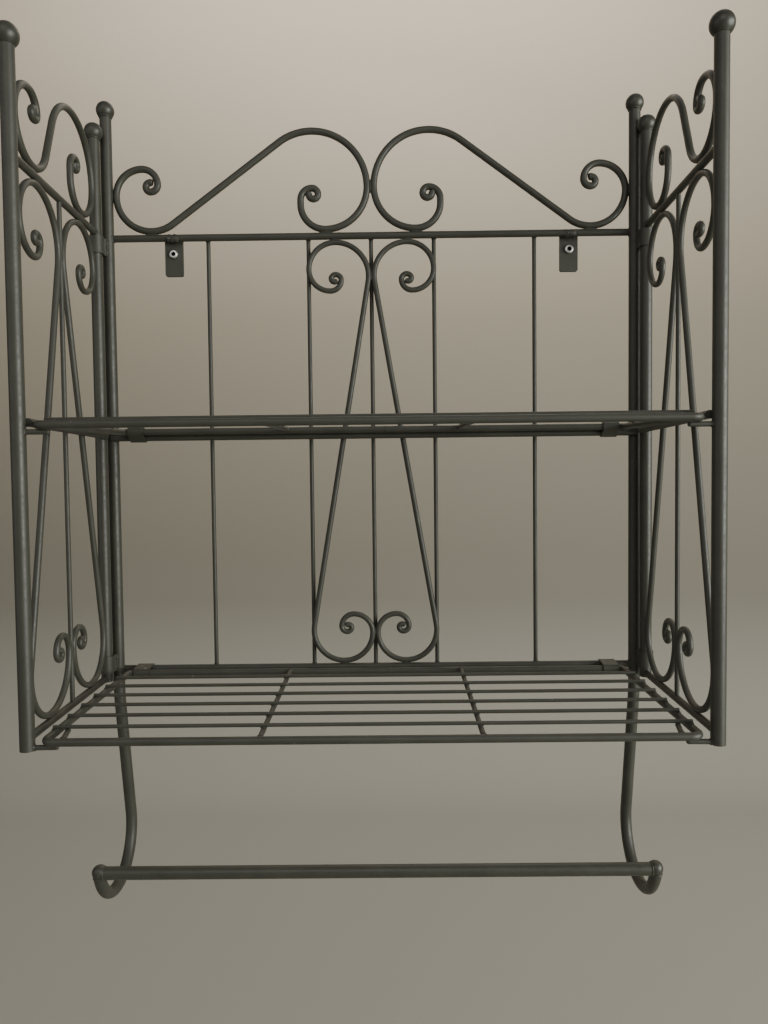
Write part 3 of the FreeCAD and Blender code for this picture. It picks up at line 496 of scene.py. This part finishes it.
SIDE_X = 0.247
REAR_Y = -0.0180
FRONT_Y = -0.1900
TOE_IN = math.radians(2.0)
SIDE_BAR_R = 0.0030
SIDE_TOP_Z = 0.0155
SIDE_MIDDLE_Z = -0.1664
SIDE_BOTTOM_Z = -0.3875
MIDDLE_END_X = 0.2434
MIDDLE_END_YS = (REAR_Y - 0.0046, FRONT_Y + 0.0046)
CREST_ON_TOP_BAR = ((-0.05602, 0.0185), (-0.15398, 0.0185))
SCROLLS_ON_BARS = ((-0.14802, 0.0125), (-0.05998, 0.0125), (-0.14828, -0.3845), (-0.05972, -0.3845))
SCROLLS_ON_POSTS = ((-0.02321, 0.0513), (-0.18479, 0.0493), (-0.02321, -0.3480), (-0.18479, -0.3480))
SCROLLS_ON_WIRE = ((-0.10591, -0.3421), (-0.10591, -0.0296), (-0.10209, -0.0296), (-0.10209, -0.3421))
SCROLLS_ON_MIDDLE_X = 0.24449
SCROLLS_ON_MIDDLE_YS = (-0.14091, -0.06709)
SIDE_EYES = (("crest", 0.0033, 123), ("front", 0.0032, 155), ("rear", 0.0032, 155))


def turn_inward(bm, side):
    bmesh.ops.rotate(bm, cent=(side * SIDE_X, REAR_Y, 0), verts=bm.verts[:],
                     matrix=Matrix.Rotation(-side * TOE_IN, 3, "Z"))


for word, side in SIDES:
    paint_nodes(post_paint, [word + "_rear_post", word + "_front_post"])
    paint_nodes(bar_paint, [word + "_side_top_bar", word + "_side_middle_bar", word + "_side_bottom_bar"])
    paint_nodes(scroll_paint, [word + "_side_crest_scroll", word + "_side_front_scroll",
                               word + "_side_rear_scroll"])
    welds = bmesh.new()
    x = side * SIDE_X
    for z in (SIDE_TOP_Z, SIDE_BOTTOM_Z):
        weld_ring(welds, (x, REAR_Y - POST_R, z), (0, 1, 0), SIDE_BAR_R, 0.0013, POST_R)
        weld_ring(welds, (x, FRONT_Y + POST_R, z), (0, -1, 0), SIDE_BAR_R, 0.0013, POST_R)
    for y in MIDDLE_END_YS:
        weld_row(welds, (side * MIDDLE_END_X, y, SIDE_MIDDLE_Z), (0, 0, 0.0048), 2,
                 (0, 1, 0), 0.0050, 0.0014)
    for y, z in CREST_ON_TOP_BAR + SCROLLS_ON_BARS:
        weld_row(welds, (x, y, z), (0.0022, 0, 0), 2, (0, 1, 0), 0.0090, 0.0015)
    for y, z in SCROLLS_ON_POSTS + SCROLLS_ON_WIRE:
        weld_row(welds, (x, y, z), (0.0020, 0, 0), 2, (0, 0, 1), 0.0080, 0.0014)
    for y in SCROLLS_ON_MIDDLE_YS:
        weld_row(welds, (side * SCROLLS_ON_MIDDLE_X, y, SIDE_MIDDLE_Z), (0, 0, 0.0022), 2,
                 (0, 1, 0), 0.0040, 0.0013)
    turn_inward(welds, side)
    new_piece(word + "_side_welds", welds, weld_paint, word + "_side_frame")
    eyes = bmesh.new()
    for scroll, radius, sweep in SIDE_EYES:
        add_scroll_eyes(eyes, word + "_side_" + scroll + "_scroll", radius, sweep)
    new_piece(word + "_side_scroll_eyes", eyes, scroll_paint, word + "_side_frame")

# Shelf pegs. Short round pins welded to the insides of the front posts, where the
# shelves rest. Their tops are rubbed bare in spots.

PEG_R = 0.0019
PEG_ZS = (-0.1733, -0.3936)
peg_paint = satin_paint("peg_paint", tone=0.98, rough=0.51, rub=0.10)
for word, side in SIDES:
    paint_nodes(peg_paint, [word + "_shelf_pegs"])
    welds = bmesh.new()
    for z in PEG_ZS:
        weld_ring(welds, (side * (SIDE_X - POST_R), FRONT_Y, z), (side, 0, 0), PEG_R, 0.0012, POST_R)
    turn_inward(welds, side)
    new_piece(word + "_peg_welds", welds, weld_paint, word + "_side_frame")

# Shelves. A round bar bent to a closed frame, a little wider at the front, with six
# long rods laid over its sides, two cross braces and two corner stubs, spot-welded
# where they cross. Each shelf slopes slightly to the front.

SHELF_ZS = (("upper", -0.1630), ("lower", -0.3833))
SLOPE = math.radians(1.8)
SHELF_REAR_Y = -0.0193
SHELF_DEPTH = 0.1742
SHELF_EDGE_X = 0.226
SHELF_FLARE = 0.0025
ROD_YS = [-0.0493 - 0.0250 * k for k in range(6)]
BRACE_XS = (-0.078, 0.078)
BRACE_YS = (-0.0221, -0.1906)
BRACE_LIFT = 0.0010
ROD_LIFT = 0.0028
STUB_LIFT = 0.0029
STUB_REAR_X = 0.2191
STUB_FRONT_X = 0.2156
STUB_WAY = (0.207, 0.978)
THIN_ROD_R = 0.0019
SEAM_X = 0.0120
SEAM_R = 0.0028
shelf_paint = satin_paint("shelf_paint", rough=0.49, pebble=0.12, dust=0.24, rub=0.015)
rod_paint = satin_paint("rod_paint", tone=1.03, rough=0.47, dust=0.26, rub=0.015)
for word, z in SHELF_ZS:
    paint_nodes(shelf_paint, [word + "_shelf_frame", word + "_shelf_braces", word + "_shelf_stubs"])
    paint_nodes(rod_paint, [word + "_shelf_rods"])
    welds = bmesh.new()
    for y in ROD_YS:
        edge_x = SHELF_EDGE_X + SHELF_FLARE * (SHELF_REAR_Y - y) / SHELF_DEPTH
        for x in (-edge_x, *BRACE_XS, edge_x):
            weld_row(welds, (x, y, z + ROD_LIFT), (0, 0.0020, 0), 2, (1, 0, 0), 0.0044, 0.0013)
    for side in (-1, 1):
        weld_dot(welds, (side * STUB_REAR_X, ROD_YS[-1], z + STUB_LIFT), (1, 0, 0), 0.0040, 0.0012)
        weld_ring(welds, (side * STUB_FRONT_X, BRACE_YS[-1], z + BRACE_LIFT),
                  (side * STUB_WAY[0], STUB_WAY[1], 0), THIN_ROD_R, 0.0012)
    for x in BRACE_XS:
        for y in BRACE_YS:
            weld_ring(welds, (x, y, z + BRACE_LIFT), (0, 1, 0), THIN_ROD_R, 0.0012)
    weld_ring(welds, (SEAM_X, SHELF_REAR_Y, z), (1, 0, 0), SEAM_R, 0.0010)
    bmesh.ops.rotate(welds, cent=(0, SHELF_REAR_Y, z), verts=welds.verts[:],
                     matrix=Matrix.Rotation(SLOPE, 3, "X"))
    new_piece(word + "_shelf_welds", welds, weld_paint, word + "_shelf")

# Shelf clips. Thin sheet bent round a bar of the back frame and the shelf's rear
# bar, so that the shelf can fold up. Their edges are rubbed.

clip_paint = satin_paint("clip_paint", tone=0.97, rough=0.49, pebble=0.12, rub=0.05)
paint_nodes(clip_paint, ["left_upper_clip", "right_upper_clip", "left_lower_clip", "right_lower_clip"])

# Room. A plain pale floor that sweeps up into a backdrop, well behind the shelf,
# in a pale plaster colour with painted light and shade by height: lightest at the top, darkest at the bend.

FLOOR_Z = -1.05
FLOOR_FRONT_Y = -3.5
ROOM_HALF_WIDTH = 7.0
BEND_Y = 1.2
BEND_R = 0.6
BACKDROP_RISE = 3.2
PLASTER_TOP_Z = 1.25
# Painted light and shade: the plaster colour is lighter towards the top and darkest at the bend.
FOOT_PAINTED_LIGHT = (0.405, 0.388, 0.338)
TOP_PAINTED_LIGHT = (0.610, 0.524, 0.415)
PAINTED_LIGHT_BETWEEN = ((0.20, (0.244, 0.228, 0.186)), (0.38, (0.286, 0.260, 0.212)),
                   (0.59, (0.350, 0.312, 0.242)), (0.80, (0.480, 0.418, 0.332)))
sweep = bmesh.new()
near = [sweep.verts.new((x, FLOOR_FRONT_Y, FLOOR_Z)) for x in (-ROOM_HALF_WIDTH, ROOM_HALF_WIDTH)]
edge = sweep.edges.new(near)
far = bmesh.ops.extrude_edge_only(sweep, edges=[edge])["geom"]
bmesh.ops.translate(sweep, verts=[g for g in far if isinstance(g, bmesh.types.BMVert)],
                    vec=(0, BEND_Y - FLOOR_FRONT_Y, 0))
last = [g for g in far if isinstance(g, bmesh.types.BMEdge)
        and all(abs(v.co.y - BEND_Y) < 1e-4 for v in g.verts)]
bend = bmesh.ops.spin(sweep, geom=last + list(last[0].verts), cent=(0, BEND_Y, FLOOR_Z + BEND_R),
                      axis=(1, 0, 0), angle=math.pi / 2, steps=24)["geom_last"]
rise = [g for g in bend if isinstance(g, bmesh.types.BMEdge)]
top = bmesh.ops.extrude_edge_only(sweep, edges=rise)["geom"]
bmesh.ops.translate(sweep, verts=[g for g in top if isinstance(g, bmesh.types.BMVert)],
                    vec=(0, 0, BACKDROP_RISE))
bmesh.ops.remove_doubles(sweep, verts=sweep.verts[:], dist=1e-5)
sweep_mesh = bpy.data.meshes.new("pale_sweep")
sweep.to_mesh(sweep_mesh)
sweep.free()
for face in sweep_mesh.polygons:
    face.use_smooth = True
plaster = bpy.data.materials.new("pale_plaster_painted_light")
plaster.use_nodes = True
plaster_link = plaster.node_tree.links.new
plaster_surface = plaster.node_tree.nodes["Principled BSDF"]
plaster_surface.inputs["Roughness"].default_value = 0.85
plaster_place = plaster.node_tree.nodes.new("ShaderNodeTexCoord")
plaster_split = plaster.node_tree.nodes.new("ShaderNodeSeparateXYZ")
plaster_link(plaster_place.outputs["Object"], plaster_split.inputs[0])
plaster_height = plaster.node_tree.nodes.new("ShaderNodeMapRange")
plaster_height.inputs["From Min"].default_value = FLOOR_Z
plaster_height.inputs["From Max"].default_value = PLASTER_TOP_Z
plaster_link(plaster_split.outputs["Z"], plaster_height.inputs["Value"])
# This height ramp paints light and shade onto the backdrop's colour.
plaster_painted_light = plaster.node_tree.nodes.new("ShaderNodeValToRGB")
plaster_painted_light.color_ramp.elements[0].color = (*FOOT_PAINTED_LIGHT, 1.0)
plaster_painted_light.color_ramp.elements[1].color = (*TOP_PAINTED_LIGHT, 1.0)
for level, tone in PAINTED_LIGHT_BETWEEN:
    plaster_painted_light.color_ramp.elements.new(level).color = (*tone, 1.0)
plaster_link(plaster_height.outputs["Result"], plaster_painted_light.inputs["Fac"])
plaster_link(plaster_painted_light.outputs["Color"], plaster_surface.inputs["Base Color"])
sweep_mesh.materials.append(plaster)
backdrop = bpy.data.objects.new("pale_sweep", sweep_mesh)
bpy.context.scene.collection.objects.link(backdrop)

# Light. A wide window-like panel from the right with a smaller one beside it, weak
# fill from the upper front, the left and behind, and a wash on the top of the
# backdrop, over an even pale surround.


def panel(name, place, aim, wide, watts, tint):
    lamp = bpy.data.lights.new(name, "AREA")
    lamp.shape = "SQUARE"
    lamp.size = wide
    lamp.energy = watts
    lamp.color = tint
    stand = bpy.data.objects.new(name, lamp)
    stand.location = place
    stand.rotation_euler = (Vector(aim) - Vector(place)).to_track_quat("-Z", "Y").to_euler()
    bpy.context.scene.collection.objects.link(stand)


panel("window_right", (2.3, -1.75, -0.05), (0, 0, -0.2), 1.4, 75.0, (0.98, 1.0, 0.93))
panel("side_right", (2.2, -0.7, 0.3), (0, 0, -0.2), 1.0, 15.0, (0.98, 1.0, 0.94))
panel("front_top", (-0.3, -2.1, 1.2), (0, 0, -0.1), 1.4, 9.0, (1.0, 0.98, 0.94))
panel("soft_left", (-1.9, -1.2, 0.2), (0, 0, -0.2), 1.8, 7.0, (1.0, 0.97, 0.92))
panel("behind", (0.4, 1.05, 1.5), (0, 0, -0.2), 1.2, 4.0, (1.0, 0.98, 0.96))
panel("wall_wash", (0.0, 1.0, 2.0), (0, 3.0, 1.2), 2.0, 30.0, (1.0, 0.97, 0.93))
surround = bpy.data.worlds.new("surround")
surround.use_nodes = True
surround.node_tree.nodes["Background"].inputs["Color"].default_value = (0.80, 0.77, 0.73, 1.0)
surround.node_tree.nodes["Background"].inputs["Strength"].default_value = 0.18
bpy.context.scene.world = surround

# Camera. Held about 70 cm in front of the tabs, a little right of centre, tilted
# down by two degrees and rolled by less than one.

CAMERA_AT = Vector((0.0139, -0.7272, -0.2098))
PITCH, YAW, ROLL = (math.radians(a) for a in (-2.276, -0.377, -0.654))
SENSOR_WIDTH = 36.0
FOCAL_LENGTH = 27.42
ahead = Vector((math.sin(YAW) * math.cos(PITCH), math.cos(YAW) * math.cos(PITCH), math.sin(PITCH)))
right = Vector((math.cos(YAW), -math.sin(YAW), 0.0))
over = right.cross(ahead)
right, over = (right * math.cos(ROLL) + over * math.sin(ROLL),
               over * math.cos(ROLL) - right * math.sin(ROLL))
lens = bpy.data.cameras.new("viewpoint")
lens.sensor_width = SENSOR_WIDTH
lens.lens = FOCAL_LENGTH
lens.clip_start, lens.clip_end = 0.02, 50.0
viewpoint = bpy.data.objects.new("viewpoint", lens)
viewpoint.matrix_world = Matrix.Translation(CAMERA_AT) @ Matrix((right, over, -ahead)).transposed().to_4x4()
bpy.context.scene.collection.objects.link(viewpoint)
bpy.context.scene.camera = viewpoint
